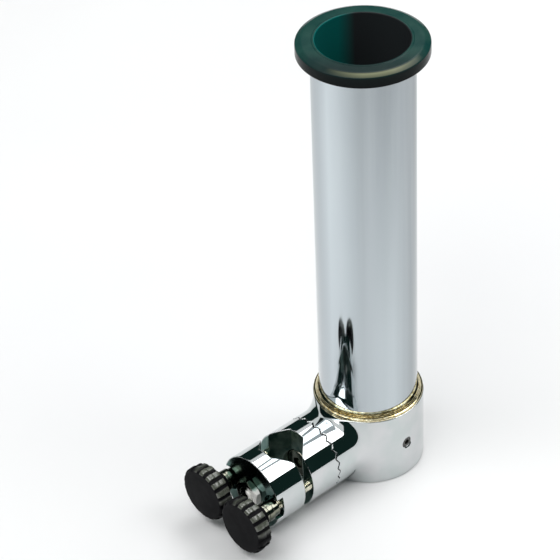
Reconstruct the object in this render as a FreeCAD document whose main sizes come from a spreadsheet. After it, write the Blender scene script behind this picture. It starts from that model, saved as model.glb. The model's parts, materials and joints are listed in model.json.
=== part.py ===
import FreeCAD, Part
import math
import os

import Sketcher

# Clamp-on rod holder. +Z runs up the tube, the origin is the centre of the cup's underside,
# and the rail clamp reaches out along -X. Distances named "reach" are measured from the tube's
# axis towards -X. All sizes are in millimetres.

SIZES = {
    # rod tube and the insert in its mouth
    "tube_radius": 22.5,
    "tube_wall": 1.2,
    "tube_top": 217.6,
    "insert_bore_radius": 20.2,
    "insert_skirt": 25,
    "flange_radius": 28.65,
    "flange_thickness": 6.7,
    "flange_under_round": 0.7,
    "flange_top_round": 1.4,
    "insert_entry_round": 0.8,
    # cup, its trim ring and its set screw
    "cup_radius": 25.3,
    "cup_height": 36,
    "cup_floor": 6,
    "cup_foot_chamfer": 0.6,
    "drain_radius": 3,
    "drain_offset": 13,
    "ring_height": 3,
    "ring_step": 0.25,
    "ring_lip": 1.1,
    "ring_crown": 0.9,
    "set_screw_radius": 2.5,
    "set_screw_sink": 0.5,
    "set_screw_socket": 1.45,
    "set_screw_socket_deep": 1.4,
    "set_screw_countersink": 0.6,
    # arm and its toothed end face
    "arm_radius": 18,
    "arm_height": 18,
    "root_fillet": 5,
    "tooth_reach": 35.8,
    "tooth_depth": 1.6,
    "tooth_count": 24,
    "tooth_gap": 0.05,
    "relief_radius": 10,
    "relief_depth": 1.1,
    # jaws and the V groove that grips a rail
    "inner_split_reach": 52,
    "outer_split_reach": 57,
    "jaw_end_reach": 73.3,
    "inner_floor_reach": 45,
    "outer_floor_reach": 64.5,
    "groove_floor_half": 4,
    "groove_mouth_half": 11,
    # pivot bolt and its spring washer
    "pivot_radius": 3.95,
    "pivot_hole_radius": 4,
    "pivot_tip_reach": 25.5,
    "pivot_hole_reach": 25,
    "pivot_head_radius": 6.5,
    "pivot_head_height": 4.4,
    "pivot_socket": 2.9,
    "pivot_socket_deep": 2.4,
    "washer_radius": 6.6,
    "washer_thickness": 0.8,
    "counterbore_radius": 6.8,
    # knob screws, one each side of the groove
    "screw_spacing_half": 14.2,
    "screw_radius": 2.45,
    "screw_hole_radius": 2.5,
    "screw_hole_reach": 38.2,
    "screw_length": 31.5,
    "screw_in_knob": 9,
    "spot_face_radius": 6,
    "spot_face_reach": 70,
    "bush_radius": 4,
    "bush_bore_radius": 2.5,
    "bush_length": 3.5,
    "ferrule_radius": 4.75,
    "ferrule_length": 4.5,
    "knob_backed_off": 2.6,
    # knobs
    "knob_radius": 13.2,
    "knob_inner_radius": 12.7,
    "knob_length": 7.3,
    "knob_step": 3.4,
    "knob_neck_length": 5.2,
    "knob_neck_radius": 5.6,
    "knob_edge_round": 1.2,
    "flute_count": 18,
    "flute_width": 2,
    "flute_depth": 1,
    # pressure screw and its lock nut
    "nut_across_corners_half": 7.5,
    "nut_height": 3.2,
    "pressure_radius": 3.95,
    "pressure_hole_radius": 4,
    "pressure_tip_reach": 65.3,
    "pressure_stand_out": 0.8,
    "pressure_socket": 2.3,
    "pressure_socket_deep": 4,
}

TO_MINUS_X = FreeCAD.Rotation(FreeCAD.Vector(0, 1, 0), -90)
TO_MINUS_Y = FreeCAD.Rotation(FreeCAD.Vector(1, 0, 0), 90)
FULL_TURN = 360


def make_sheet(doc):
    """The spreadsheet of driving dimensions, one named cell each."""
    sheet = doc.addObject("Spreadsheet::Sheet", "Sheet")
    for row, (alias, value) in enumerate(SIZES.items(), start=1):
        sheet.set(f"A{row}", alias)
        sheet.set(f"B{row}", str(value))
        sheet.setAlias(f"B{row}", alias)
    doc.recompute()
    return sheet


# ---- sketches and features -------------------------------------------------------------


def make_body(doc, name):
    return doc.addObject("PartDesign::Body", name)


def make_sketch(body, name, role, offset=None):
    """A sketch on one of the body's own origin planes, moved along the plane's normal."""
    sketch = body.newObject("Sketcher::SketchObject", name)
    plane = next(f for f in body.Origin.OriginFeatures if f.Role == role)
    sketch.AttachmentSupport = (plane, [""])
    sketch.MapMode = "FlatFace"
    if offset:
        sketch.setExpression("AttachmentOffset.Base.z", offset)
    return sketch


def bind_point(sketch, geometry, position, start, across, up):
    """Ties a point of the sketch to two expressions."""
    for kind, value, formula in (("DistanceX", start.x, across), ("DistanceY", start.y, up)):
        number = sketch.addConstraint(Sketcher.Constraint(kind, -1, 1, geometry, position, value))
        sketch.setExpression(f"Constraints[{number}]", formula)


def draw_polygon(sketch, corners):
    """A closed outline of straight edges, with each corner bound to the sheet."""
    count = len(corners)
    turn = 2 * math.pi / count
    start = [FreeCAD.Vector(3 + math.cos(i * turn), 3 + math.sin(i * turn), 0) for i in range(count)]
    for i in range(count):
        sketch.addGeometry(Part.LineSegment(start[i], start[(i + 1) % count]), False)
    for i in range(count):
        sketch.addConstraint(Sketcher.Constraint("Coincident", i, 2, (i + 1) % count, 1))
    for i, (across, up) in enumerate(corners):
        bind_point(sketch, i, 1, start[i], across, up)


def draw_circle(sketch, across, up, radius):
    """A circle whose centre and radius are bound to the sheet."""
    centre = FreeCAD.Vector(3, 3, 0)
    geometry = sketch.addGeometry(Part.Circle(centre, FreeCAD.Vector(0, 0, 1), 1), False)
    bind_point(sketch, geometry, 3, centre, across, up)
    number = sketch.addConstraint(Sketcher.Constraint("Radius", geometry, 1))
    sketch.setExpression(f"Constraints[{number}]", radius)


def pad(body, name, sketch, length):
    feature = body.newObject("PartDesign::Pad", name)
    feature.Profile = sketch
    feature.setExpression("Length", length)
    return feature


def pocket(body, name, sketch, length, reverse=False, both_ways=False):
    feature = body.newObject("PartDesign::Pocket", name)
    feature.Profile = sketch
    feature.Reversed = reverse
    feature.Midplane = both_ways
    feature.setExpression("Length", length)
    return feature


def revolve(body, name, sketch):
    feature = body.newObject("PartDesign::Revolution", name)
    feature.Profile = sketch
    feature.ReferenceAxis = (sketch, ["V_Axis"])
    feature.Angle = FULL_TURN
    return feature


def round_circles(doc, body, name, places, radius):
    """Rounds the body's circular edges that lie at the given (radius, height) places."""
    doc.recompute()
    base = body.Tip
    edges = []
    for number, edge in enumerate(base.Shape.Edges, start=1):
        curve = edge.Curve
        if not isinstance(curve, Part.Circle):
            continue
        for wide, high in places:
            if abs(curve.Radius - wide) < 1e-4 and abs(curve.Center.z - high) < 1e-4:
                edges.append(f"Edge{number}")
    feature = body.newObject("PartDesign::Fillet", name)
    feature.Base = (base, edges)
    feature.setExpression("Radius", radius)
    return feature


# ---- primitives and booleans -----------------------------------------------------------


def place(shape, turn, x="0", y="0", z="0"):
    """Turns an object and binds where it stands to the sheet."""
    shape.Placement = FreeCAD.Placement(FreeCAD.Vector(0, 0, 0), turn)
    for axis, formula in (("x", x), ("y", y), ("z", z)):
        shape.setExpression(f"Placement.Base.{axis}", formula)
    return shape


def make_cylinder(doc, name, radius, length):
    shape = doc.addObject("Part::Cylinder", name)
    shape.setExpression("Radius", radius)
    shape.setExpression("Height", length)
    return shape


def outward_cylinder(doc, name, radius, first_reach, last_reach, y="0"):
    """A cylinder along -X on the clamp's height, between two reaches."""
    shape = make_cylinder(doc, name, radius, f"({last_reach}) - ({first_reach})")
    return place(shape, TO_MINUS_X, x=f"-({first_reach})", y=y, z="Sheet.arm_height")


def outward_hexagon(doc, name, corner_radius, first_reach, last_reach, y="0"):
    """A hexagonal prism along -X on the clamp's height, between two reaches."""
    shape = doc.addObject("Part::Prism", name)
    shape.Polygon = 6
    shape.setExpression("Circumradius", corner_radius)
    shape.setExpression("Height", f"({last_reach}) - ({first_reach})")
    return place(shape, TO_MINUS_X, x=f"-({first_reach})", y=y, z="Sheet.arm_height")


def cut(doc, name, base, tools):
    """The base with every tool taken away from it."""
    for number, tool in enumerate(tools, start=1):
        last = number == len(tools)
        step = doc.addObject("Part::Cut", name if last else f"{name}_step{number}")
        step.Base = base
        step.Tool = tool
        base = step
    return base


def fuse(doc, name, shapes):
    joined = doc.addObject("Part::MultiFuse", name)
    joined.Shapes = shapes
    return joined


# ---- rod tube, mouth insert and trim ring ----------------------------------------------


def make_tube(doc):
    body = make_body(doc, "rod_tube")
    sketch = make_sketch(body, "tube_section", "XY_Plane", "Sheet.cup_floor")
    draw_circle(sketch, "0", "0", "Sheet.tube_radius")
    draw_circle(sketch, "0", "0", "Sheet.tube_radius - Sheet.tube_wall")
    pad(body, "tube_wall_pad", sketch, "Sheet.tube_top - Sheet.cup_floor")
    return body


def make_insert(doc, sheet):
    """A rubber ring that lines the tube's mouth, with a thin skirt down inside the tube."""
    body = make_body(doc, "mouth_insert")
    sketch = make_sketch(body, "insert_section", "XZ_Plane")
    bore = "Sheet.insert_bore_radius"
    skirt = "Sheet.tube_radius - Sheet.tube_wall"
    under = "Sheet.tube_top"
    top = "Sheet.tube_top + Sheet.flange_thickness"
    draw_polygon(sketch, [
        (bore, "Sheet.tube_top - Sheet.insert_skirt"),
        (skirt, "Sheet.tube_top - Sheet.insert_skirt"),
        (skirt, under),
        ("Sheet.flange_radius", under),
        ("Sheet.flange_radius", top),
        (bore, top),
    ])
    revolve(body, "insert_ring", sketch)
    low = sheet.tube_top
    high = low + sheet.flange_thickness
    wide = sheet.flange_radius
    narrow = sheet.insert_bore_radius
    round_circles(doc, body, "insert_under_round", [(wide, low)], "Sheet.flange_under_round")
    round_circles(doc, body, "insert_top_round", [(wide, high)], "Sheet.flange_top_round")
    round_circles(doc, body, "insert_entry", [(narrow, high)], "Sheet.insert_entry_round")
    return body


def make_ring(doc):
    """The bevelled ring that closes the gap between the cup's rim and the tube."""
    body = make_body(doc, "cup_trim_ring")
    sketch = make_sketch(body, "ring_section", "XZ_Plane")
    base = "Sheet.cup_height"
    top = "Sheet.cup_height + Sheet.ring_height"
    rim = "Sheet.cup_radius - Sheet.ring_step"
    draw_polygon(sketch, [
        ("Sheet.tube_radius", base),
        (rim, base),
        (rim, "Sheet.cup_height + Sheet.ring_lip"),
        ("Sheet.tube_radius + Sheet.ring_crown", top),
        ("Sheet.tube_radius", top),
    ])
    revolve(body, "ring_turned", sketch)
    return body


# ---- toothed joint -----------------------------------------------------------------------


def make_teeth_tool(doc, sheet, name, shift):
    """The space beyond a ring of radial face teeth, out along -X.

    Every tooth flank is a plane through the clamp's axis, so two faces cut with this tool mesh
    at each whole tooth of turn. The depth is the one at the arm's rim.
    """
    count = 2 * int(sheet.tooth_count)
    wide = sheet.arm_radius + sheet.root_fillet
    swing = sheet.tooth_depth / 2 * wide / sheet.arm_radius
    middle = -sheet.tooth_reach - shift
    far = -sheet.jaw_end_reach
    rim = []
    back = []
    for i in range(count):
        angle = i * 2 * math.pi / count
        across = wide * math.cos(angle)
        up = sheet.arm_height + wide * math.sin(angle)
        rim.append(FreeCAD.Vector(middle + (-swing if i % 2 else swing), across, up))
        back.append(FreeCAD.Vector(far, across, up))
    centre = FreeCAD.Vector(middle, 0, sheet.arm_height)
    outlines = [back]
    for i in range(count):
        after = (i + 1) % count
        outlines.append([centre, rim[i], rim[after]])
        outlines.append([rim[i], back[i], back[after], rim[after]])
    faces = [Part.Face(Part.makePolygon(points + points[:1])) for points in outlines]
    solid = Part.makeSolid(Part.makeShell(faces))
    if solid.Volume < 0:
        solid.reverse()
    feature = doc.addObject("Part::Feature", name)
    feature.Shape = solid
    return feature


def make_relief(doc, name):
    """The shallow recess that keeps the teeth off the bolt's hole."""
    return outward_cylinder(
        doc, name, "Sheet.relief_radius",
        "Sheet.tooth_reach - Sheet.relief_depth", "Sheet.tooth_reach + Sheet.relief_depth",
    )


# ---- cup with its arm --------------------------------------------------------------------


def cup_and_arm(doc):
    """The cup and arm with a casting fillet between them, trimmed flat above and below."""
    spare = "2 * Sheet.root_fillet"
    cup = make_cylinder(doc, "cup_block", "Sheet.cup_radius", f"Sheet.cup_height + 2 * {spare}")
    place(cup, FreeCAD.Rotation(), z=f"-{spare}")
    arm = outward_cylinder(
        doc, "arm_block", "Sheet.arm_radius", "0", "Sheet.tooth_reach + Sheet.tooth_depth")
    joined = fuse(doc, "cup_with_arm", [cup, arm])
    doc.recompute()
    shape = joined.Shape
    root = []
    for number, edge in enumerate(shape.Edges, start=1):
        if isinstance(edge.Curve, (Part.Line, Part.Circle)):
            continue
        root.append((number, doc.Sheet.root_fillet, doc.Sheet.root_fillet))
    blend = doc.addObject("Part::Fillet", "cup_root_fillet")
    blend.Base = joined
    blend.Edges = root
    slab = doc.addObject("Part::Box", "cup_slab")
    slab.setExpression("Length", "Sheet.jaw_end_reach + 2 * Sheet.cup_radius")
    slab.setExpression("Width", "4 * Sheet.cup_radius")
    slab.setExpression("Height", "Sheet.cup_height")
    place(slab, FreeCAD.Rotation(), x="-Sheet.jaw_end_reach", y="-2 * Sheet.cup_radius")
    trimmed = doc.addObject("Part::Common", "cup_trimmed")
    trimmed.Base = blend
    trimmed.Tool = slab
    return trimmed


def make_foot_chamfer(doc):
    """What the bevel round the cup's underside takes away."""
    block = make_cylinder(doc, "foot_block", "Sheet.cup_radius + 1", "Sheet.cup_foot_chamfer")
    cone = doc.addObject("Part::Cone", "foot_cone")
    cone.setExpression("Radius1", "Sheet.cup_radius - Sheet.cup_foot_chamfer")
    cone.setExpression("Radius2", "Sheet.cup_radius")
    cone.setExpression("Height", "Sheet.cup_foot_chamfer")
    arm_side = doc.addObject("Part::Box", "foot_arm_side")
    arm_side.setExpression("Length", "2 * Sheet.cup_radius")
    arm_side.setExpression("Width", "3 * Sheet.cup_radius")
    arm_side.setExpression("Height", "Sheet.cup_foot_chamfer")
    place(arm_side, FreeCAD.Rotation(), x="-2 * Sheet.cup_radius", y="-1.5 * Sheet.cup_radius")
    return cut(doc, "foot_bevel", block, [cone, arm_side])


def set_screw_hole(doc):
    """The tapped hole in the cup's -Y wall, with its countersink."""
    hole = make_cylinder(doc, "set_screw_bore", "Sheet.set_screw_radius", "Sheet.cup_radius + 1")
    place(hole, TO_MINUS_Y, z="Sheet.arm_height")
    sink = doc.addObject("Part::Cone", "set_screw_sink_cone")
    sink.setExpression("Radius1", "Sheet.set_screw_radius")
    sink.setExpression("Radius2", "Sheet.set_screw_radius + 2 * Sheet.set_screw_countersink")
    sink.setExpression("Height", "2 * Sheet.set_screw_countersink")
    place(sink, TO_MINUS_Y, y="-Sheet.cup_radius + Sheet.set_screw_countersink",
          z="Sheet.arm_height")
    return [hole, sink]


def make_cup(doc, teeth):
    bore = make_cylinder(doc, "cup_bore", "Sheet.tube_radius", "Sheet.cup_height")
    place(bore, FreeCAD.Rotation(), z="Sheet.cup_floor")
    drain = make_cylinder(doc, "cup_drain", "Sheet.drain_radius", "Sheet.cup_floor")
    place(drain, FreeCAD.Rotation(), x="Sheet.drain_offset")
    thread = outward_cylinder(
        doc, "cup_pivot_thread", "Sheet.pivot_hole_radius",
        "Sheet.pivot_hole_reach", "Sheet.tooth_reach + Sheet.tooth_depth")
    relief = make_relief(doc, "cup_relief")
    tools = [teeth, relief, thread, bore, drain, make_foot_chamfer(doc)]
    return cut(doc, "socket_cup", cup_and_arm(doc), tools + set_screw_hole(doc))


def make_set_screw(doc):
    """The headless screw that holds the tube in the cup."""
    stem = make_cylinder(
        doc, "set_screw_stem", "Sheet.set_screw_radius",
        "Sheet.cup_radius - Sheet.tube_radius - Sheet.set_screw_sink")
    place(stem, TO_MINUS_Y, y="-Sheet.tube_radius", z="Sheet.arm_height")
    socket = doc.addObject("Part::Prism", "set_screw_hexagon")
    socket.Polygon = 6
    socket.setExpression("Circumradius", "Sheet.set_screw_socket")
    socket.setExpression("Height", "Sheet.set_screw_socket_deep")
    place(socket, TO_MINUS_Y, z="Sheet.arm_height",
          y="-Sheet.cup_radius + Sheet.set_screw_sink + Sheet.set_screw_socket_deep")
    tube = make_cylinder(doc, "set_screw_seat", "Sheet.tube_radius", "Sheet.cup_height")
    return cut(doc, "tube_set_screw", stem, [tube, socket])


# ---- jaws ----------------------------------------------------------------------------------


def jaw_block(doc, name, first_reach, last_reach):
    """A round bar along X on the clamp's height, from one reach to the other."""
    body = make_body(doc, name)
    sketch = make_sketch(body, f"{name}_section", "YZ_Plane", f"-({last_reach})")
    draw_circle(sketch, "0", "Sheet.arm_height", "Sheet.arm_radius")
    pad(body, f"{name}_bar", sketch, f"({last_reach}) - ({first_reach})")
    return body


def cut_groove(body, name, floor_reach, mouth_reach):
    """The V groove with a flat floor that runs up the jaw's split face."""
    sketch = make_sketch(body, f"{name}_groove_outline", "XY_Plane")
    draw_polygon(sketch, [
        (f"-({floor_reach})", "-Sheet.groove_floor_half"),
        (f"-({mouth_reach})", "-Sheet.groove_mouth_half"),
        (f"-({mouth_reach})", "Sheet.groove_mouth_half"),
        (f"-({floor_reach})", "Sheet.groove_floor_half"),
    ])
    pocket(body, f"{name}_groove", sketch, "4 * Sheet.cup_height", both_ways=True)


def cut_round_holes(body, name, radius, start_reach, depth, across, towards_plus_x):
    """Round holes along X at the given distances either side of the clamp's axis."""
    sketch = make_sketch(body, f"{name}_circles", "YZ_Plane", f"-({start_reach})")
    for y in across:
        draw_circle(sketch, y, "Sheet.arm_height", radius)
    pocket(body, name, sketch, depth, reverse=towards_plus_x)


BOTH_SCREWS = ("-Sheet.screw_spacing_half", "Sheet.screw_spacing_half")
ON_AXIS = ("0",)


def make_inner_jaw(doc, teeth):
    """The jaw next to the arm: teeth on one face, the rail's groove in the other."""
    body = jaw_block(
        doc, "inner_jaw_bar", "Sheet.tooth_reach - Sheet.tooth_depth", "Sheet.inner_split_reach")
    cut_groove(body, "inner_jaw", "Sheet.inner_floor_reach", "Sheet.inner_split_reach")
    seat = "Sheet.inner_floor_reach - Sheet.pivot_head_height - Sheet.washer_thickness"
    cut_round_holes(
        body, "inner_jaw_counterbore", "Sheet.counterbore_radius", "Sheet.inner_split_reach",
        f"Sheet.inner_split_reach - ({seat})", ON_AXIS, True)
    cut_round_holes(
        body, "inner_jaw_pivot_hole", "Sheet.pivot_hole_radius", "Sheet.inner_split_reach",
        "Sheet.inner_split_reach", ON_AXIS, True)
    cut_round_holes(
        body, "inner_jaw_threads", "Sheet.screw_hole_radius", "Sheet.inner_split_reach",
        "Sheet.inner_split_reach - Sheet.screw_hole_reach", BOTH_SCREWS, True)
    toothed = doc.addObject("Part::Common", "inner_jaw_toothed")
    toothed.Base = body
    toothed.Tool = teeth
    return cut(doc, "inner_jaw", toothed, [make_relief(doc, "inner_jaw_relief")])


def make_outer_jaw(doc):
    """The jaw that the knobs draw in: groove on one face, spot-faced screw holes in the end."""
    body = jaw_block(doc, "outer_jaw", "Sheet.outer_split_reach", "Sheet.jaw_end_reach")
    cut_groove(body, "outer_jaw", "Sheet.outer_floor_reach", "Sheet.outer_split_reach")
    length = "Sheet.jaw_end_reach - Sheet.outer_split_reach"
    cut_round_holes(
        body, "outer_jaw_screw_holes", "Sheet.screw_hole_radius", "Sheet.jaw_end_reach",
        length, BOTH_SCREWS, True)
    cut_round_holes(
        body, "outer_jaw_spot_faces", "Sheet.spot_face_radius", "Sheet.jaw_end_reach",
        "Sheet.jaw_end_reach - Sheet.spot_face_reach", BOTH_SCREWS, True)
    cut_round_holes(
        body, "outer_jaw_pressure_thread", "Sheet.pressure_hole_radius", "Sheet.jaw_end_reach",
        length, ON_AXIS, True)
    return body


# ---- pivot bolt, pressure screw and lock nut -----------------------------------------------


def make_pivot_bolt(doc):
    """The low-headed screw that draws the inner jaw's teeth into the arm's."""
    head_in = "Sheet.inner_floor_reach - Sheet.pivot_head_height"
    shank = outward_cylinder(
        doc, "pivot_shank", "Sheet.pivot_radius", "Sheet.pivot_tip_reach", head_in)
    head = outward_cylinder(
        doc, "pivot_head", "Sheet.pivot_head_radius", head_in, "Sheet.inner_floor_reach")
    socket = outward_hexagon(
        doc, "pivot_socket_hexagon", "Sheet.pivot_socket",
        "Sheet.inner_floor_reach - Sheet.pivot_socket_deep", "Sheet.inner_floor_reach")
    return cut(doc, "pivot_bolt", fuse(doc, "pivot_blank", [shank, head]), [socket])


def make_pivot_washer(doc):
    under_head = "Sheet.inner_floor_reach - Sheet.pivot_head_height"
    seat = f"{under_head} - Sheet.washer_thickness"
    disc = outward_cylinder(doc, "washer_disc", "Sheet.washer_radius", seat, under_head)
    hole = outward_cylinder(doc, "washer_hole", "Sheet.pivot_hole_radius", seat, under_head)
    return cut(doc, "pivot_washer", disc, [hole])


def make_pressure_screw(doc):
    """The headless screw whose tip can be wound in against the rail."""
    tail = "Sheet.jaw_end_reach + Sheet.nut_height + Sheet.pressure_stand_out"
    stem = outward_cylinder(
        doc, "pressure_stem", "Sheet.pressure_radius", "Sheet.pressure_tip_reach", tail)
    socket = outward_hexagon(
        doc, "pressure_socket_hexagon", "Sheet.pressure_socket",
        f"{tail} - Sheet.pressure_socket_deep", tail)
    return cut(doc, "pressure_screw", stem, [socket])


def make_lock_nut(doc):
    top = "Sheet.jaw_end_reach + Sheet.nut_height"
    block = outward_hexagon(
        doc, "nut_block", "Sheet.nut_across_corners_half", "Sheet.jaw_end_reach", top)
    hole = outward_cylinder(
        doc, "nut_thread", "Sheet.pressure_hole_radius", "Sheet.jaw_end_reach", top)
    return cut(doc, "lock_nut", block, [hole])


# ---- knob screws ---------------------------------------------------------------------------
# Each is built along its own +Z from the ferrule's inner end, then laid along -X.


def lay_out(shape, side, backed_off):
    """Lays a knob screw's piece on its axis, on one side of the groove (side is 1 or -1)."""
    start = f"Sheet.spot_face_reach + Sheet.bush_length + {backed_off} * Sheet.knob_backed_off"
    return place(
        shape, TO_MINUS_X, x=f"-({start})", y=f"{side} * Sheet.screw_spacing_half",
        z="Sheet.arm_height")


def make_knob_screw(doc, hand):
    """The threaded stud, from its tip in the inner jaw to its end inside the knob."""
    body = make_body(doc, f"{hand}_knob_screw")
    sketch = make_sketch(body, f"{hand}_screw_section", "XY_Plane", "-Sheet.screw_length")
    draw_circle(sketch, "0", "0", "Sheet.screw_radius")
    pad(body, f"{hand}_screw_pad", sketch, "Sheet.screw_length + Sheet.screw_in_knob")
    return body


def make_sleeve(doc, name, outer, inner, start, length):
    """A plain ring round the knob screw's axis."""
    body = make_body(doc, name)
    sketch = make_sketch(body, f"{name}_section", "XY_Plane", start)
    draw_circle(sketch, "0", "0", outer)
    draw_circle(sketch, "0", "0", inner)
    pad(body, f"{name}_pad", sketch, length)
    return body


def make_knob(doc, sheet, hand):
    """A fluted knob: a neck, then a head whose ribs step down on the side next to the clamp."""
    body = make_body(doc, f"{hand}_knob")
    sketch = make_sketch(body, f"{hand}_knob_section", "XZ_Plane")
    base = "Sheet.ferrule_length"
    under = f"{base} + Sheet.knob_neck_length"
    step = f"{under} + Sheet.knob_step"
    face = f"{under} + Sheet.knob_length"
    draw_polygon(sketch, [
        ("0", "Sheet.screw_in_knob"),
        ("Sheet.screw_radius", "Sheet.screw_in_knob"),
        ("Sheet.screw_radius", base),
        ("Sheet.knob_neck_radius", base),
        ("Sheet.knob_neck_radius", under),
        ("Sheet.knob_inner_radius", under),
        ("Sheet.knob_inner_radius", step),
        ("Sheet.knob_radius", step),
        ("Sheet.knob_radius", face),
        ("0", face),
    ])
    revolve(body, f"{hand}_knob_turned", sketch)
    top = sheet.ferrule_length + sheet.knob_neck_length + sheet.knob_length
    round_circles(
        doc, body, f"{hand}_knob_edge", [(sheet.knob_radius, top)], "Sheet.knob_edge_round")
    flute = make_sketch(body, f"{hand}_flute_outline", "XY_Plane", under)
    flute.setExpression("AttachmentOffset.Rotation.Angle", "180 deg / Sheet.flute_count")
    floor = "Sheet.knob_radius - Sheet.flute_depth"
    draw_polygon(flute, [
        (floor, "-Sheet.flute_width / 2"),
        ("Sheet.knob_radius + Sheet.flute_depth", "-Sheet.flute_width / 2"),
        ("Sheet.knob_radius + Sheet.flute_depth", "Sheet.flute_width / 2"),
        (floor, "Sheet.flute_width / 2"),
    ])
    groove = pocket(body, f"{hand}_flute", flute, "Sheet.knob_length", reverse=True)
    doc.recompute()
    ring = body.newObject("PartDesign::PolarPattern", f"{hand}_flutes")
    ring.Originals = [groove]
    ring.Axis = (flute, ["N_Axis"])
    ring.Angle = FULL_TURN
    ring.setExpression("Occurrences", "Sheet.flute_count")
    body.Tip = ring
    return body


def make_knob_set(doc, sheet, hand, side, backed_off):
    """The knob, ferrule, screw and bush that turn together on one side of the clamp."""
    ferrule = make_sleeve(
        doc, f"{hand}_ferrule", "Sheet.ferrule_radius", "Sheet.screw_radius",
        "0", "Sheet.ferrule_length")
    bush = make_sleeve(
        doc, f"{hand}_thrust_bush", "Sheet.bush_radius", "Sheet.bush_bore_radius",
        "-Sheet.bush_length", "Sheet.bush_length")
    pieces = [make_knob(doc, sheet, hand), make_knob_screw(doc, hand), ferrule, bush]
    for piece in pieces:
        lay_out(piece, side, backed_off)
    return pieces


# ---- the whole -----------------------------------------------------------------------------


def build(doc):
    """Every sub-part, in the document, bound to the sheet."""
    sheet = make_sheet(doc)
    arm_teeth = make_teeth_tool(doc, sheet, "arm_teeth_space", 0)
    jaw_teeth = make_teeth_tool(doc, sheet, "jaw_teeth_space", sheet.tooth_gap)
    parts = [
        make_tube(doc),
        make_insert(doc, sheet),
        make_ring(doc),
        make_cup(doc, arm_teeth),
        make_set_screw(doc),
        make_inner_jaw(doc, jaw_teeth),
        make_outer_jaw(doc),
        make_pivot_bolt(doc),
        make_pivot_washer(doc),
        make_pressure_screw(doc),
        make_lock_nut(doc),
    ]
    parts += make_knob_set(doc, sheet, "left", 1, 0)
    parts += make_knob_set(doc, sheet, "right", -1, 1)
    for part in parts:
        part.Label = part.Name
    doc.recompute()
    return parts


def check(doc, parts):
    """Stops if any feature failed or any sub-part isn't a valid solid."""
    for item in doc.Objects:
        if "Invalid" in item.State or "Error" in item.State:
            raise RuntimeError(f"{item.Name} failed: {item.State}")
    for part in parts:
        shape = part.Shape
        if shape.isNull() or not shape.isValid() or not shape.Solids:
            raise RuntimeError(f"{part.Label} has no valid solid")


def write(parts):
    os.makedirs("parts", exist_ok=True)
    for part in parts:
        box = part.Shape.BoundBox
        part.Shape.exportStep(f"parts/{part.Label}.step")
        print(
            f"{part.Label}: {len(part.Shape.Solids)} solid, {part.Shape.Volume:.1f} mm3, "
            f"X {box.XMin:.2f} to {box.XMax:.2f}, Y {box.YMin:.2f} to {box.YMax:.2f}, "
            f"Z {box.ZMin:.2f} to {box.ZMax:.2f}")


document = FreeCAD.newDocument("RodHolder")
sub_parts = build(document)
check(document, sub_parts)
write(sub_parts)
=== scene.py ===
import json
import math

import bpy
import numpy as np
from mathutils import Matrix, Vector


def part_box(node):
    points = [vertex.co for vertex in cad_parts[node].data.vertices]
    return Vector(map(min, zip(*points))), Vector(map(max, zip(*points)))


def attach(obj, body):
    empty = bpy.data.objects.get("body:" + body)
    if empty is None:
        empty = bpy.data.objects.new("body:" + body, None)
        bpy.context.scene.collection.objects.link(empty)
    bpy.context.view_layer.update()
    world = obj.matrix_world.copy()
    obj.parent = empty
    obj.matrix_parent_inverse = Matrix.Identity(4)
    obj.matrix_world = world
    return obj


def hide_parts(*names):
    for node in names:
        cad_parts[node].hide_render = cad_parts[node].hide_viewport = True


# A clamp-on rod holder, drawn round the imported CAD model. The frame is the CAD's: +Z up the
# tube, the origin under the cup, the rail clamp out along -X. Lengths inside the builders are
# millimetres, and add_piece turns them into metres.

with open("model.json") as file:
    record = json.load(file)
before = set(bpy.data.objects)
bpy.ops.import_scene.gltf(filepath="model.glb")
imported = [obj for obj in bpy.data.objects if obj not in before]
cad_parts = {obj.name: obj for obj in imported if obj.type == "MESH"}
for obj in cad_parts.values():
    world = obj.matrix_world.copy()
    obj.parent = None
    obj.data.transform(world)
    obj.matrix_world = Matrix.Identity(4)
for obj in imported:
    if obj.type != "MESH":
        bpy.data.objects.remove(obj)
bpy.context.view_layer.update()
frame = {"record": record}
BODIES = frame["record"]["behaviour"]["bodies"]
SLOTS = {part["node"]: part["material_slot"] for part in frame["record"]["subparts"]}
MM = 0.001
FULL_TURN = 2 * math.pi


def box(node):
    """The node's lowest and highest corners at rest, in millimetres."""
    low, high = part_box(node)
    return np.array(low) / MM, np.array(high) / MM


# ---- sizes in millimetres, from the CAD model where it has them ----------------------------
# A reach is a distance from the tube's axis out along -X.

TUBE_RADIUS = box("rod_tube")[1][0]
TUBE_WALL = 1.2
TUBE_BORE = TUBE_RADIUS - TUBE_WALL
INSERT_BORE = 20.2

CUP_RADIUS = box("socket_cup")[1][0]
CUP_HEIGHT = box("socket_cup")[1][2]
CUP_FLOOR = box("rod_tube")[0][2]
DRAIN_OFFSET = 13
DRAIN_RADIUS = 3
SET_SCREW_RADIUS = 2.5

ARM_RADIUS = box("inner_jaw")[1][1]
ARM_HEIGHT = (box("inner_jaw")[0][2] + box("inner_jaw")[1][2]) / 2
ROOT_FILLET = 5
EDGE = 0.35

TOOTH_COUNT = 24
TOOTH_DEPTH = 1.6
TOOTH_GAP = 0.4
TOOTH_EDGE = 0.2
TOOTH_REACH = -box("socket_cup")[0][0] - TOOTH_DEPTH / 2
FLANK = math.cos(math.atan(TOOTH_DEPTH * TOOTH_COUNT / (math.pi * ARM_RADIUS)))
RELIEF_RADIUS = 10
RELIEF_DEPTH = 1.1

M8_RADIUS = 4
M8_PITCH = 1.25
PIVOT_HOLE_REACH = 25
COUNTERBORE_RADIUS = 6.8
COUNTERBORE_REACH = -box("pivot_washer")[1][0]

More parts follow.
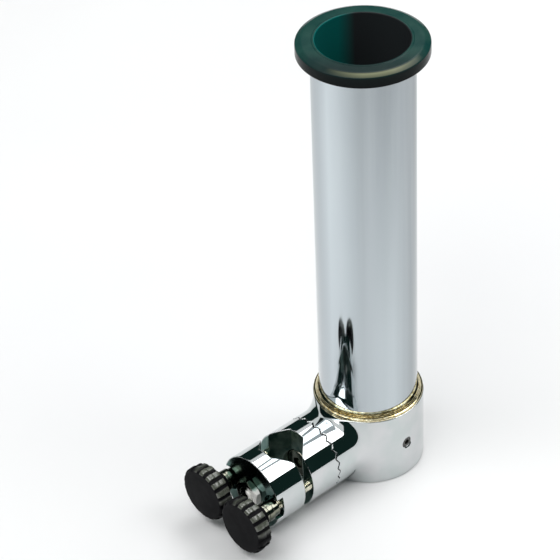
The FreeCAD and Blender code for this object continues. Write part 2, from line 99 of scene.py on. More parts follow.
INNER_SPLIT = -box("inner_jaw")[0][0]
OUTER_SPLIT = -box("outer_jaw")[1][0]
JAW_END = -box("outer_jaw")[0][0]
GROOVE_DEPTH = 7.5
INNER_FLOOR = -box("pivot_bolt")[0][0]
OUTER_FLOOR = OUTER_SPLIT + GROOVE_DEPTH
GROOVE_FLOOR_HALF = 4
GROOVE_MOUTH_HALF = 11

SCREW_SIDE = (box("left_knob_screw")[0][1] + box("left_knob_screw")[1][1]) / 2
SCREW_PITCH = 0.8
SCREW_HOLE = 2.5
SCREW_HOLE_REACH = 38.2
SPOT_FACE_RADIUS = 6
SPOT_FACE_REACH = -box("left_thrust_bush")[1][0]
FERRULE_BORE = 2.45
FERRULE_WAIST = 0.25

KNOB_RADIUS = 13.2
KNOB_HEAD = 7.3
KNOB_STEP = 3.4
KNOB_STEP_IN = 0.4
KNOB_EDGE = 0.8
KNOB_BORE = 2.6
NECK_RADIUS = 5.6
NECK_EDGE = 0.4
RIB_END = 2.0
FLUTES = 18
FLUTE_DEPTH = 1.0

# Where the painted sheen and highlights lie on the pieces, as angles in radians round their own
# axes.
KNOB_SHEEN_ANGLE = -0.52
KNOB_SHEEN_HALF = 0.95
RIM_HIGHLIGHT_ANGLE = -2.1

# How finely the turned pieces are divided.
SMOOTH_SEGMENTS = 256
SLEEVE_SEGMENTS = 72
STUD_SEGMENTS = 40
RINGS_PER_PITCH = 10
SEGMENTS_PER_FLUTE = 20


# ---- materials -----------------------------------------------------------------------------

# Level directions in the photo's view: to the right, to the left and towards the camera.
RIGHTWARD = (0.7313, -0.6814, 0)
LEFTWARD = (-0.73, 0.68, 0)
NEARWARD = (-0.69, -0.72, 0)
UPWARD = (0, 0, 1)


class Shade:
    """A Principled material, with short helpers for the nodes that feed it."""

    def __init__(self, name, metallic=0.0, roughness=0.3):
        self.material = bpy.data.materials.new(name)
        self.material.use_nodes = True
        self.nodes = self.material.node_tree.nodes
        self.links = self.material.node_tree.links
        self.surface = self.nodes["Principled BSDF"]
        self.surface.inputs["Metallic"].default_value = metallic
        self.surface.inputs["Roughness"].default_value = roughness
        self.place = self.nodes.new("ShaderNodeTexCoord").outputs["Object"]

    def feed(self, socket, value):
        self.links.new(value, self.surface.inputs[socket])

    def noise(self, scale, detail, stretch=(1, 1, 1)):
        """Noise in the object's own space. scale is in cycles per metre."""
        mapping = self.nodes.new("ShaderNodeMapping")
        mapping.inputs["Scale"].default_value = stretch
        texture = self.nodes.new("ShaderNodeTexNoise")
        texture.inputs["Scale"].default_value = scale
        texture.inputs["Detail"].default_value = detail
        self.links.new(self.place, mapping.inputs["Vector"])
        self.links.new(mapping.outputs["Vector"], texture.inputs["Vector"])
        return texture.outputs["Fac"]

    def mask(self, name):
        """A 0 to 1 value stored on the mesh's points, 0 where the mesh has none."""
        node = self.nodes.new("ShaderNodeAttribute")
        node.attribute_name = name
        return node.outputs["Fac"]

    def across(self, direction):
        """How far along a direction a point lies, in metres in the object's own space."""
        node = self.nodes.new("ShaderNodeVectorMath")
        node.operation = "DOT_PRODUCT"
        node.inputs[1].default_value = direction
        self.links.new(self.place, node.inputs[0])
        return node.outputs["Value"]

    def from_origin(self):
        """How far a point lies from the object's own origin, in metres."""
        node = self.nodes.new("ShaderNodeVectorMath")
        node.operation = "LENGTH"
        self.links.new(self.place, node.inputs[0])
        return node.outputs["Value"]

    def product(self, first, second):
        node = self.nodes.new("ShaderNodeMath")
        node.operation = "MULTIPLY"
        self.links.new(first, node.inputs[0])
        self.links.new(second, node.inputs[1])
        return node.outputs["Value"]

    def span(self, value, low, high, start, end):
        """A number that runs from low to high as the value goes from start to end."""
        ramp = self.nodes.new("ShaderNodeMapRange")
        for socket, number in (("From Min", start), ("From Max", end),
                               ("To Min", low), ("To Max", high)):
            ramp.inputs[socket].default_value = number
        self.links.new(value, ramp.inputs["Value"])
        return ramp.outputs["Result"]

    def wander(self, scale, detail, low, high, stretch=(1, 1, 1)):
        """A number that wanders from low to high with the noise, most of which is between 0.35
        and 0.65."""
        return self.span(self.noise(scale, detail, stretch), low, high, 0.35, 0.65)

    def blend(self, value, first, second):
        """A number between two, each a number or another node's result, by a 0 to 1 value."""
        node = self.nodes.new("ShaderNodeMix")
        self.links.new(value, node.inputs["Factor"])
        for socket, source in (("A", first), ("B", second)):
            if isinstance(source, float):
                node.inputs[socket].default_value = source
            else:
                self.links.new(source, node.inputs[socket])
        return node.outputs["Result"]

    def mix(self, value, first, second):
        """A colour between two, each a colour or another node's result, by a 0 to 1 value."""
        node = self.nodes.new("ShaderNodeMix")
        node.data_type = "RGBA"
        self.links.new(value, node.inputs[0])
        for socket, source in ((node.inputs[6], first), (node.inputs[7], second)):
            if isinstance(source, tuple):
                socket.default_value = (*source, 1)
            else:
                self.links.new(source, socket)
        return node.outputs[2]

    def mottle(self, scale, detail, first, second, stretch=(1, 1, 1)):
        """A colour that wanders from the first to the second with the noise."""
        return self.mix(self.wander(scale, detail, 0, 1, stretch), first, second)

    def ramp(self, value, stops):
        """A bluish grey that runs through (place, brightness) stops as the value goes 0 to 1."""
        node = self.nodes.new("ShaderNodeValToRGB")
        for _ in stops[2:]:
            node.color_ramp.elements.new(0.5)
        for element, (place, tone) in zip(node.color_ramp.elements, stops):
            element.position = place
            element.color = (0.91 * tone, tone, 1.05 * tone, 1)
        self.links.new(value, node.inputs["Fac"])
        return node.outputs["Color"]

    def bump(self, value, depth, strength=0.5):
        """Relief of the given depth in millimetres."""
        node = self.nodes.new("ShaderNodeBump")
        node.inputs["Strength"].default_value = strength
        node.inputs["Distance"].default_value = depth * MM
        self.links.new(value, node.inputs["Height"])
        self.feed("Normal", node.outputs["Normal"])


def tube_chrome():
    """Polished drawn tube: mirror bright, with faint streaks along its length. Painted reflection
    bands run round it, paler down its -X, +Y side, and it is painted darker towards the mouth."""
    shade = Shade("tube_chrome", metallic=1.0)
    half = TUBE_RADIUS * MM
    across = shade.span(shade.across(RIGHTWARD), 0, 1, -half, half)
    # Painted reflection: bands of tone across the tube, one set at its foot and a darker set at
    # its mouth, blended by height.
    foot = shade.ramp(across, [
        (0, 0.38), (0.15, 0.68), (0.3, 0.62), (0.46, 0.50), (0.75, 0.56), (1, 0.34)])
    mouth = shade.ramp(across, [
        (0, 0.40), (0.15, 0.68), (0.3, 0.54), (0.46, 0.40), (0.8, 0.38), (1, 0.26)])
    painted_tube_reflection = shade.mix(shade.span(shade.across(UPWARD), 0, 1, 0.08, 0.21), foot, mouth)
    streaks = shade.wander(160, 4, 0, 0.25, (1, 1, 0.02))
    shade.feed("Base Color", shade.mix(streaks, painted_tube_reflection, (0.58, 0.62, 0.66)))
    shade.feed("Roughness", shade.wander(420, 5, 0.05, 0.10, (1, 1, 0.05)))
    shade.bump(shade.noise(55, 1, (1, 1, 0.12)), 0.03)
    return shade.material


def cast_chrome():
    """Polished casting. Its cut faces (the mask "cut") are painted darker than the outside, a
    painted dark reflection, and the rail's groove (the mask "slot") carries a paler painted
    reflection and is duller than the other cut faces."""
    shade = Shade("cast_chrome", metallic=1.0)
    cut = shade.mask("cut")
    slot = shade.mask("slot")
    polished = shade.mottle(90, 2, (0.54, 0.58, 0.58), (0.62, 0.63, 0.64))
    # Painted dark reflection on the cut faces, and a paler painted reflection on the groove's
    # walls.
    painted_cut_reflection = shade.mottle(140, 3, (0.05, 0.11, 0.10), (0.14, 0.21, 0.19))
    painted_groove_reflection = shade.mottle(240, 4, (0.09, 0.16, 0.14), (0.30, 0.38, 0.34))
    painted_cut_reflection = shade.mix(slot, painted_cut_reflection, painted_groove_reflection)
    shade.feed("Base Color", shade.mix(cut, polished, painted_cut_reflection))
    cut_roughness = shade.blend(slot, 0.14, 0.3)
    shade.feed("Roughness", shade.blend(cut, shade.wander(500, 4, 0.03, 0.06), cut_roughness))
    shade.bump(shade.noise(110, 2), 0.05)
    return shade.material


def ring_metal():
    """Finely turned brass ring, paler where it is rubbed."""
    shade = Shade("ring_metal", metallic=1.0)
    shade.feed("Base Color", shade.mottle(
        700, 3, (0.84, 0.78, 0.56), (0.40, 0.31, 0.13), (1, 1, 3)))
    shade.feed("Roughness", shade.wander(1500, 3, 0.06, 0.16))
    shade.bump(shade.noise(1200, 3), 0.02, 0.6)
    return shade.material


def steel_screw():
    """Bright steel with fine tool marks. The mask "dull" darkens it to bronzed steel; where it is
    below 1, the bright steel is a painted highlight. The mask "plated" turns it white and all but
    non-metallic, a painted white reflection."""
    shade = Shade("steel_screw", metallic=1.0)
    # Painted white reflection where this mask is 1.
    plated = shade.mask("plated")
    bright = shade.mottle(600, 3, (0.90, 0.87, 0.72), (0.76, 0.73, 0.58))
    bronzed = shade.mottle(500, 3, (0.075, 0.085, 0.065), (0.04, 0.05, 0.04))
    # Bronzed steel, with painted highlights left bright where this mask is below 1.
    bare = shade.mix(shade.mask("dull"), bright, bronzed)
    shade.feed("Base Color", shade.mix(plated, bare, (0.97, 0.96, 0.92)))
    shade.feed("Metallic", shade.blend(plated, 1.0, 0.05))
    shade.feed("Roughness", shade.blend(plated, shade.wander(1800, 4, 0.07, 0.16), 0.32))
    shade.bump(shade.noise(2600, 2, (0.1, 1, 1)), 0.015, 0.6)
    return shade.material


def dark_steel():
    """Blackened steel, rubbed brighter on its high spots."""
    shade = Shade("dark_steel", metallic=1.0)
    shade.feed("Base Color", shade.mottle(1500, 3, (0.05, 0.05, 0.05), (0.18, 0.18, 0.17)))
    shade.feed("Roughness", shade.wander(2500, 3, 0.25, 0.45))
    return shade.material


def black_rubber():
    """Moulded rubber. The top (the mask "face") is shinier and green, painted lighter than the
    black side as if lit, with painted shade on its near side. The mouth (the mask "bore") is
    painted a lighter grey, with a painted green reflection on one side. The rim (the mask "edge")
    has a pale painted highlight along one stretch."""
    shade = Shade("black_rubber")
    face = shade.mask("face")
    bore = shade.mask("bore")
    # Painted green reflection down one side of the mouth, and the mouth painted a lighter grey.
    painted_bore_reflection = shade.product(shade.span(shade.across(LEFTWARD), 0, 1, 0.003, 0.010), bore)
    inside = shade.mix(bore, (0.004, 0.006, 0.006), (0.022, 0.025, 0.027))
    plain = shade.mix(painted_bore_reflection, inside, (0.004, 0.12, 0.11))
    # The top's green, painted lighter than the black side as if lit.
    green = shade.mottle(110, 4, (0.005, 0.037, 0.034), (0.016, 0.056, 0.047))
    # Painted shade on the near side of the top.
    near = shade.span(shade.across(NEARWARD), 0, 0.75, 0.008, 0.022)
    green = shade.mix(near, green, (0.006, 0.012, 0.013))
    # Painted pale highlight along a stretch of the rim.
    green = shade.mix(shade.mask("edge"), green, (0.26, 0.27, 0.16))
    shade.feed("Base Color", shade.mix(face, plain, green))
    shade.feed("Specular IOR Level", shade.blend(face, 0.06, 0.12))
    shade.feed("Roughness", shade.wander(160, 3, 0.16, 0.26))
    shade.bump(shade.noise(900, 2), 0.004)
    return shade.material


def black_plastic():
    """Moulded plastic. The crests of the ribs (the mask "worn") are rubbed, and carry a painted
    grey sheen on the side turned up to the light.
    """
    shade = Shade("black_plastic")
    wear_and_sheen = shade.mask("wear_and_sheen")
    plain = shade.mottle(200, 3, (0.004, 0.004, 0.005), (0.009, 0.009, 0.010))
    shade.feed("Base Color", shade.mix(wear_and_sheen, plain, (0.085, 0.092, 0.072)))
    shade.feed("Specular IOR Level", shade.blend(wear_and_sheen, 0.03, 1.0))
    shade.feed("Roughness", shade.blend(wear_and_sheen, 0.4, shade.wander(320, 4, 0.2, 0.3)))
    shade.bump(shade.noise(1500, 2), 0.006)
    return shade.material


MATERIALS = {make.__name__: make() for make in (
    tube_chrome, cast_chrome, ring_metal, steel_screw, dark_steel, black_rubber, black_plastic)}


# ---- meshes --------------------------------------------------------------------------------


def body_of(node):
    return next(body for body, nodes in BODIES.items() if node in nodes)


def add_piece(name, node, points, faces, normals=None, crease=None, masks=None):
    """Makes a mesh of millimetre points stand for a CAD node, in its body and its slot.

    It takes either a normal for every point, or the angle in degrees from which an edge is
    sharp.
    """
    mesh = bpy.data.meshes.new(name)
    mesh.from_pydata((np.asarray(points) * MM).tolist(), [], faces)
    mesh.validate()
    mesh.update()
    mesh.polygons.foreach_set("use_smooth", [True] * len(mesh.polygons))
    if normals is None:
        mesh.set_sharp_from_angle(angle=math.radians(crease))
    else:
        mesh.normals_split_custom_set_from_vertices(normals.tolist())
    for mask, values in (masks or {}).items():
        mesh.attributes.new(mask, "FLOAT", "POINT").data.foreach_set("value", values)
    piece = bpy.data.objects.new(name, mesh)
    bpy.context.scene.collection.objects.link(piece)
    mesh.materials.append(MATERIALS[SLOTS[node]])
    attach(piece, body_of(node))
    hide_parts(node)


def rounded(corners, steps=6):
    """An outline of (across, along, radius) corners as points, each corner an arc."""
    points = []
    count = len(corners)
    for i, (across, along, radius) in enumerate(corners):
        here = np.array([across, along], float)
        if not radius:
            points.append(here)
            continue
        before = np.array(corners[i - 1][:2], float) - here
        after = np.array(corners[(i + 1) % count][:2], float) - here
        before /= np.linalg.norm(before)
        after /= np.linalg.norm(after)
        half = math.acos(np.clip(before @ after, -1, 1)) / 2
        middle = (before + after) / np.linalg.norm(before + after)
        centre = here + middle * radius / math.sin(half)
        first = here + before * radius / math.tan(half) - centre
        last = here + after * radius / math.tan(half) - centre
        sweep = math.pi - 2 * half
        for step in range(steps + 1):
            share = step / steps
            arc = math.sin((1 - share) * sweep) * first + math.sin(share * sweep) * last
            points.append(centre + arc / math.sin(sweep))
    return points


def full_circle(segments):
    """Evenly spaced angles."""
    return np.arange(segments) * FULL_TURN / segments


def ring_of_points(radius, angle, along):
    """Points round +Z at the given angles, at one radius or a radius each, all at one height."""
    return np.stack([radius * np.cos(angle), radius * np.sin(angle),
                     np.full(len(angle), float(along))], axis=-1)


def bands(rings, segments, closed=False):
    """Quads between rings of points. Closed means that the last ring meets the first."""
    faces = []
    for ring in range(rings if closed else rings - 1):
        here = ring * segments
        there = (ring + 1) % rings * segments
        for i in range(segments):
            after = (i + 1) % segments
            faces.append((here + i, here + after, there + after, there + i))
    return faces


def lathe(outline, segments):
    """Points and faces of a closed outline of (radius, height) turned about +Z."""
    angle = full_circle(segments)
    points = np.vstack([ring_of_points(radius, angle, height) for radius, height in outline])
    return points, bands(len(outline), segments, closed=True)


def outward(points, start, side):
    """Turns points built along +Z to run along -X from a reach, on one side of the clamp."""
    return np.stack([-points[:, 2] - start, points[:, 1] + side * SCREW_SIDE,
                     points[:, 0] + ARM_HEIGHT], axis=-1)


def angle_off(angle, middle):
    """How far an angle is from another, either way round."""
    return np.abs((angle - middle + math.pi) % FULL_TURN - math.pi)


# ---- solids carved from distance fields ----------------------------------------------------
# A field is a function of x, y and z that is negative inside the solid, in millimetres.


def common(a, b, radius=0.0):
    """What two fields share, with the edge between them rounded."""
    if not radius:
        return np.maximum(a, b)
    near = np.hypot(np.maximum(a + radius, 0), np.maximum(b + radius, 0))
    return np.minimum(np.maximum(a, b), -radius) + near


def joined(a, b, radius=0.0):
    """Two fields together, with a fillet where they meet."""
    return -common(-a, -b, radius)


def without(a, b, radius=0.0):
    """The first field with the second cut out of it."""
    return common(a, -b, radius)


def hexagon(a, b, half_width):
    """A hexagonal bar with its flats half_width from the middle, two of them facing +-a."""
    slant = np.abs(a) / 2 + np.abs(b) * math.sqrt(3) / 2
    return np.maximum(slant, np.abs(a)) - half_width


def cell_corners(shape):
    """The eight corners of every grid cell, as slices of the grid."""
    for i in (0, 1):
        for j in (0, 1):
            for k in (0, 1):
                yield (i, j, k), tuple(
                    slice(o, n - 1 + o) for o, n in zip((i, j, k), shape))


def crossing_cells(values):
    """The cells that the surface passes through, and the middle of its crossings in each."""
    inside = values < 0
    count = np.zeros([n - 1 for n in values.shape], np.int8)
    for _, part in cell_corners(values.shape):
        count += inside[part]
    cells = np.argwhere((count > 0) & (count < 8))
    total = np.zeros((len(cells), 3))
    hits = np.zeros(len(cells))
    for a, _ in cell_corners(values.shape):
        for axis in range(3):
            if a[axis]:
                continue
            b = tuple(o + (n == axis) for n, o in enumerate(a))
            low = values[tuple((cells + a).T)]
            high = values[tuple((cells + b).T)]
            crosses = (low < 0) != (high < 0)
            share = np.where(crosses, low / np.where(crosses, low - high, 1), 0)
            spot = np.tile(np.array(a, float), (len(cells), 1))
            spot[:, axis] += share
            total += spot * crosses[:, None]
            hits += crosses
    return cells, cells + total / hits[:, None]


def crossing_faces(values, cells):
    """One quad for each grid edge that crosses the surface, facing outwards."""
    number = np.full([n - 1 for n in values.shape], -1, np.int64)
    number[tuple(cells.T)] = np.arange(len(cells))
    inside = values < 0
    faces = []
    for axis in range(3):
        one, two = [n for n in range(3) if n != axis]
        if axis == 1:
            one, two = two, one
        low = [slice(1, -1)] * 3
        low[axis] = slice(0, -1)
        high = list(low)
        high[axis] = slice(1, None)
        first, second = inside[tuple(low)], inside[tuple(high)]
        for leaving in (True, False):
            edges = np.argwhere((first != second) & (first == leaving))
            edges += [0 if n == axis else 1 for n in range(3)]
            ring = []
            for down_one, down_two in ((1, 1), (0, 1), (0, 0), (1, 0)):
                step = np.zeros(3, int)
                step[one] = down_one
                step[two] = down_two
                ring.append(number[tuple((edges - step).T)])
            faces.append(np.stack(ring if leaving else ring[::-1], axis=-1))
    return np.vstack(faces)


def slopes(field, points, reach):
    """The field's gradient at each point."""
    columns = []
    for axis in range(3):
        step = np.zeros(3)
        step[axis] = reach
        ahead = field(*(points + step).T)
        behind = field(*(points - step).T)
        columns.append((ahead - behind) / (2 * reach))
    return np.stack(columns, axis=-1)


def carve(field, low, high, step):
    """Points, faces and normals of a field's surface, with each point moved exactly onto it."""
    margin = 1.5 * step
    lines = [np.arange(a - margin, b + 2 * margin, step) for a, b in zip(low, high)]
    values = field(*np.meshgrid(*lines, indexing="ij"))
    cells, spots = crossing_cells(values)
    points = spots * step + np.array([line[0] for line in lines])
    for _ in range(3):
        slope = slopes(field, points, step / 50)
        length = np.maximum((slope ** 2).sum(axis=1), 0.05)
        move = slope * (field(*points.T) / length)[:, None]
        points -= np.clip(move, -step / 2, step / 2)
    slope = slopes(field, points, step / 8)
    normals = slope / np.maximum(np.linalg.norm(slope, axis=1), 1e-6)[:, None]
    return points, crossing_faces(values, cells).tolist(), normals


def carve_piece(node, field, step, **masks):
    """Carves a node's piece from a field. Each mask gives a material's 0 to 1 value at points."""
    points, faces, normals = carve(field, *box(node), step)
    masks = {name: mask(*points.T) for name, mask in masks.items()}
    add_piece(f"{node}_shell", node, points, faces, normals, masks=masks)


# ---- rod tube, mouth insert and trim ring --------------------------------------------------


def build_tube():
    low, high = box("rod_tube")
    edge = 0.3
    outline = rounded([
        (TUBE_BORE, low[2], edge),
        (TUBE_RADIUS, low[2], edge),
        (TUBE_RADIUS, high[2], edge),
        (TUBE_BORE, high[2], edge),
    ], 3)
    add_piece("rod_tube_shell", "rod_tube", *lathe(outline, SMOOTH_SEGMENTS), crease=80)


def insert_masks(points, top):
    """Which points of the insert are its bore, its green face and the stretch of the face's edge
    that carries a painted highlight.
    """
    bore = np.hypot(points[:, 0], points[:, 1]) < INSERT_BORE + 0.4
    fall = top - points[:, 2]
    face = np.clip((2.2 - fall) / 0.5, 0, 1) * ~bore
    angle = np.arctan2(points[:, 1], points[:, 0])
    # The edge band within a window of angles round the flange: a painted highlight.
    edge = np.clip((fall - 0.3) / 0.3, 0, 1) * np.clip((1.5 - fall) / 0.4, 0, 1)
    edge *= np.clip((0.85 - angle_off(angle, RIM_HIGHLIGHT_ANGLE)) / 0.6, 0, 1) * ~bore
    return {"bore": bore.astype(float), "face": face, "edge": edge}


def build_insert():
    """A thick flange with a rounded top edge, and a fine raised rim round the mouth."""
    low, high = box("mouth_insert")
    rim = high[0]
    top = high[2]
    under = box("rod_tube")[1][2]
    face = top - 0.25
    outline = rounded([
        (INSERT_BORE, low[2], 0.2),
        (TUBE_BORE, low[2], 0.3),
        (TUBE_BORE, under, 0.1),
        (rim, under, 0.7),
        (rim, top - 1.6, 0.8),
        (rim - 2.6, face, 2.4),
        (INSERT_BORE + 1.5, face, 0.25),
        (INSERT_BORE + 1.1, top, 0.3),
        (INSERT_BORE, top, 0.5),
    ])
    points, faces = lathe(outline, SMOOTH_SEGMENTS)
    add_piece("mouth_insert_shell", "mouth_insert", points, faces, crease=50,
              masks=insert_masks(points, top))


def build_ring():
    """A convex lip, then a bevel with fine turned grooves up to the tube."""
    low, high = box("cup_trim_ring")
    outer = high[0]
    base, top = low[2], high[2]
    bevel_start = np.array([outer - 0.75, base + 1.3])
    bevel_end = np.array([TUBE_RADIUS + 0.75, top - 0.05])
    outline = rounded([
        (TUBE_RADIUS, base, 0),
        (outer, base, 0.15),
        (outer, base + 1.0, 0.5),
        (*bevel_start, 0.12),
    ], 5)
    grooves = 3
    groove_depth = 0.24
    steps = 8 * grooves
    normal = np.array([top - base, outer - TUBE_RADIUS])
    normal /= math.hypot(*normal)
    for step in range(1, steps):
        share = step / steps
        depth = groove_depth * max(0.0, math.cos(share * grooves * FULL_TURN)) ** 2
        outline.append(bevel_start + share * (bevel_end - bevel_start) - normal * depth)
    outline += [bevel_end, (TUBE_RADIUS + 0.35, top), (TUBE_RADIUS, top - 0.2)]
    add_piece("cup_trim_ring_shell", "cup_trim_ring", *lathe(outline, SMOOTH_SEGMENTS), crease=60)


# ---- castings ------------------------------------------------------------------------------


def from_clamp_axis(y, z):
    return np.hypot(y, z - ARM_HEIGHT)


def from_knob_screw(y, z):
    return np.hypot(np.abs(y) - SCREW_SIDE, z - ARM_HEIGHT)


def teeth_surface(y, z):
    """Where along X the middle of the toothed joint lies, for a point's place round the axis."""
    turn = np.arctan2(z - ARM_HEIGHT, y) * TOOTH_COUNT / FULL_TURN
    saw = np.abs((turn + 0.5) % 1 - 0.5)
    blunt = 0.04
    ridge = 1 - 4 * np.sqrt(saw ** 2 + blunt ** 2)
    ridge = np.where(saw > 0.25, -1 + 4 * np.sqrt((0.5 - saw) ** 2 + blunt ** 2), ridge)
    return -TOOTH_REACH + ridge * TOOTH_DEPTH / 2 * from_clamp_axis(y, z) / ARM_RADIUS


def cut_faces(x, y, z):
    """1 on a jaw's ends, groove and teeth, which lie inside the round bar, and 0 on the bar."""
    return np.clip((ARM_RADIUS - from_clamp_axis(y, z) - 0.3) / 0.3, 0, 1)


def groove_walls(x, y, z):
    """1 on the walls of the rail's groove, and 0 on the jaws' other cut faces."""
    past_floor = np.maximum(x + INNER_FLOOR, -OUTER_FLOOR - x)
    return np.clip(1 - past_floor / 0.3, 0, 1) * (np.abs(y) < GROOVE_MOUTH_HALF + 0.2)


def arm_end(x, y, z):
    """1 on the toothed end of the cup's arm."""
    return cut_faces(x, y, z) * (x < -CUP_RADIUS - ROOT_FILLET)


def relief(x, y, z):
    """The recess in the middle of both toothed faces."""
    return common(from_clamp_axis(y, z) - RELIEF_RADIUS, np.abs(x + TOOTH_REACH) - RELIEF_DEPTH)


def cup_field(x, y, z):
    """The cup and the arm with a casting fillet, trimmed flat at top and bottom, then bored."""
    from_tube_axis = np.hypot(x, y)
    arm = common(from_clamp_axis(y, z) - ARM_RADIUS, x)
    solid = joined(from_tube_axis - CUP_RADIUS, arm, ROOT_FILLET)
    solid = common(solid, z - CUP_HEIGHT, 0.25)
    solid = common(solid, -z, 0.5)
    solid = common(solid, (teeth_surface(y, z) - x) * FLANK, TOOTH_EDGE)
    solid = without(solid, relief(x, y, z))
    solid = without(solid, common(from_clamp_axis(y, z) - M8_RADIUS, x + PIVOT_HOLE_REACH))
    solid = without(solid, common(from_tube_axis - TUBE_RADIUS, CUP_FLOOR - z))
    solid = without(solid, np.hypot(x - DRAIN_OFFSET, y) - DRAIN_RADIUS, 0.4)
    past_screw = np.hypot(x, z - ARM_HEIGHT) - SET_SCREW_RADIUS
    hole = common(past_screw, y)
    sink_depth = 0.6
    sink = common((past_screw - sink_depth + (y + CUP_RADIUS)) / math.sqrt(2), y)
    return without(solid, joined(hole, sink), 0.1)


def groove(x, y, floor, split):
    """The V with a flat floor that a jaw's split face has for the rail."""
    rise = GROOVE_MOUTH_HALF - GROOVE_FLOOR_HALF
    run = abs(split - floor)
    depth = (x + floor) * (1 if floor < split else -1)
    wall = ((np.abs(y) - GROOVE_FLOOR_HALF) * run + depth * rise) / math.hypot(rise, run)
    return common(wall, depth, 0.3)


def inner_jaw_field(x, y, z):
    """A round bar with teeth on one end and the groove in the other, bored for three screws."""
    from_axis = from_clamp_axis(y, z)
    solid = common(from_axis - ARM_RADIUS, -(x + INNER_SPLIT), EDGE)
    solid = common(solid, (x + TOOTH_GAP - teeth_surface(y, z)) * FLANK, TOOTH_EDGE)
    solid = without(solid, relief(x, y, z))
    solid = without(solid, groove(x, y, INNER_FLOOR, INNER_SPLIT), EDGE)
    seat = common(from_axis - COUNTERBORE_RADIUS, x + COUNTERBORE_REACH)
    solid = without(solid, seat, 0.25)
    solid = without(solid, from_axis - M8_RADIUS)
    threads = common(from_knob_screw(y, z) - SCREW_HOLE, x + SCREW_HOLE_REACH)
    return without(solid, threads, 0.15)


def outer_jaw_field(x, y, z):
    """A round bar with the groove in one end, and spot faces round the holes in the other."""
    from_axis = from_clamp_axis(y, z)
    from_screw = from_knob_screw(y, z)
    solid = common(from_axis - ARM_RADIUS, x + OUTER_SPLIT, EDGE)
    solid = common(solid, -(x + JAW_END), EDGE)
    solid = without(solid, groove(x, y, OUTER_FLOOR, OUTER_SPLIT), EDGE)
    solid = without(solid, from_screw - SCREW_HOLE, 0.15)
    spot = common(from_screw - SPOT_FACE_RADIUS, x + SPOT_FACE_REACH)
    solid = without(solid, spot, 0.25)
    return without(solid, from_axis - M8_RADIUS, 0.3)


# ---- small fasteners -----------------------------------------------------------------------


def thread(angle, along, radius, pitch):
    """The radius of a screw thread's flank at an angle and a distance along the screw."""
    depth = 0.54 * pitch
    wave = np.abs((along / pitch - angle / FULL_TURN) % 1 - 0.5) * 2
    return radius - depth * np.clip(1.15 * (1 - wave) - 0.05, 0, 1)


def set_screw_field(x, y, z):
    """Headless screw in the cup's wall, seen end on, with a hexagonal socket."""
    play = 0.02
    socket_half = 1.25
    socket_depth = 1.4
    face = box("tube_set_screw")[0][1]
    stem = np.hypot(x, z - ARM_HEIGHT) - SET_SCREW_RADIUS + play
    solid = common(stem, face - y, 0.35)
    solid = common(solid, TUBE_RADIUS - np.hypot(x, y))
    socket = common(hexagon(x, z - ARM_HEIGHT, socket_half), y - face - socket_depth)
    return without(solid, socket, 0.08)


def pivot_bolt_field(x, y, z):
    """Low-headed socket screw."""
    head_height = 4.4
    shank_start = 2
    socket_half = 2.5
    socket_depth = 2.4
    low, high = box("pivot_bolt")
    along = x - low[0]
    from_axis = from_clamp_axis(y, z)
    shank = common(from_axis - M8_RADIUS + 0.05, x - high[0], 0.6)
    head = common(from_axis - (high[1] - low[1]) / 2, -along, 0.4)
    head = common(head, along - head_height, 0.15)
    solid = joined(head, common(shank, shank_start - along), 0.2)
    socket = common(hexagon(y, z - ARM_HEIGHT, socket_half), along - socket_depth)
    return without(solid, socket, 0.12)


def bronze_bolt_lit_rim(x, y, z):
    """1 on the pivot bolt, bronzed all over, and less on the rim of its head, where a highlight
    is painted.
    """
    return 1 - 0.5 * np.clip((from_clamp_axis(y, z) - 5.9) / 0.4, 0, 1)


def washer_field(x, y, z):
    """Spring washer, with a slanting split in its upper half."""
    slant = 0.35
    split_half = 0.35
    low, high = box("pivot_washer")
    from_axis = from_clamp_axis(y, z)
    ring = without(from_axis - high[1], from_axis - M8_RADIUS)
    ring = common(ring, np.abs(x - (low[0] + high[0]) / 2) - (high[0] - low[0]) / 2, 0.1)
    split = common(np.abs(y + (z - ARM_HEIGHT - 5) * slant) - split_half, ARM_HEIGHT - z)
    return without(ring, split, 0.05)


def nut_field(x, y, z):
    """Hexagon nut with both corners chamfered and a countersunk thread."""
    low, high = box("lock_nut")
    from_axis = from_clamp_axis(y, z)
    flats = (high[1] - low[1]) / 2
    solid = common(hexagon(y, z - ARM_HEIGHT, flats), low[0] - x)
    solid = common(solid, x - high[0])
    for face in (low[0] - x, x - high[0]):
        chamfer = (from_axis - flats + 0.15) * 0.5 + face * 0.87
        solid = common(solid, chamfer, 0.1)
    return without(solid, from_axis - M8_RADIUS, 0.45)


def pressure_screw_field(x, y, z):
    """Headless screw, threaded all along, with a socket in its outer end."""
    socket_half = 2
    socket_depth = 4
    end_radius = 3.1
    low, high = box("pressure_screw")
    angle = np.arctan2(y, z - ARM_HEIGHT)
    from_axis = from_clamp_axis(y, z)
    solid = (from_axis - thread(angle, -x, M8_RADIUS - 0.05, M8_PITCH)) * 0.8
    for face in (low[0] - x, x - high[0]):
        solid = common(solid, face)
        solid = common(solid, (from_axis - end_radius + face) * 0.7)
    socket = common(hexagon(y, z - ARM_HEIGHT, socket_half), x - low[0] - socket_depth)
    return without(solid, socket, 0.1)


def everywhere(x, y, z):
    return np.ones_like(x)


def white_reflection_side(x, y, z):
    """1 on the -Y side of the clamp's axis, where a white reflection is painted on."""
    return np.clip(-y / 1.2, 0, 1) * np.clip(ARM_HEIGHT + 5.6 - z, 0, 1)


# ---- knobs and their screws ----------------------------------------------------------------


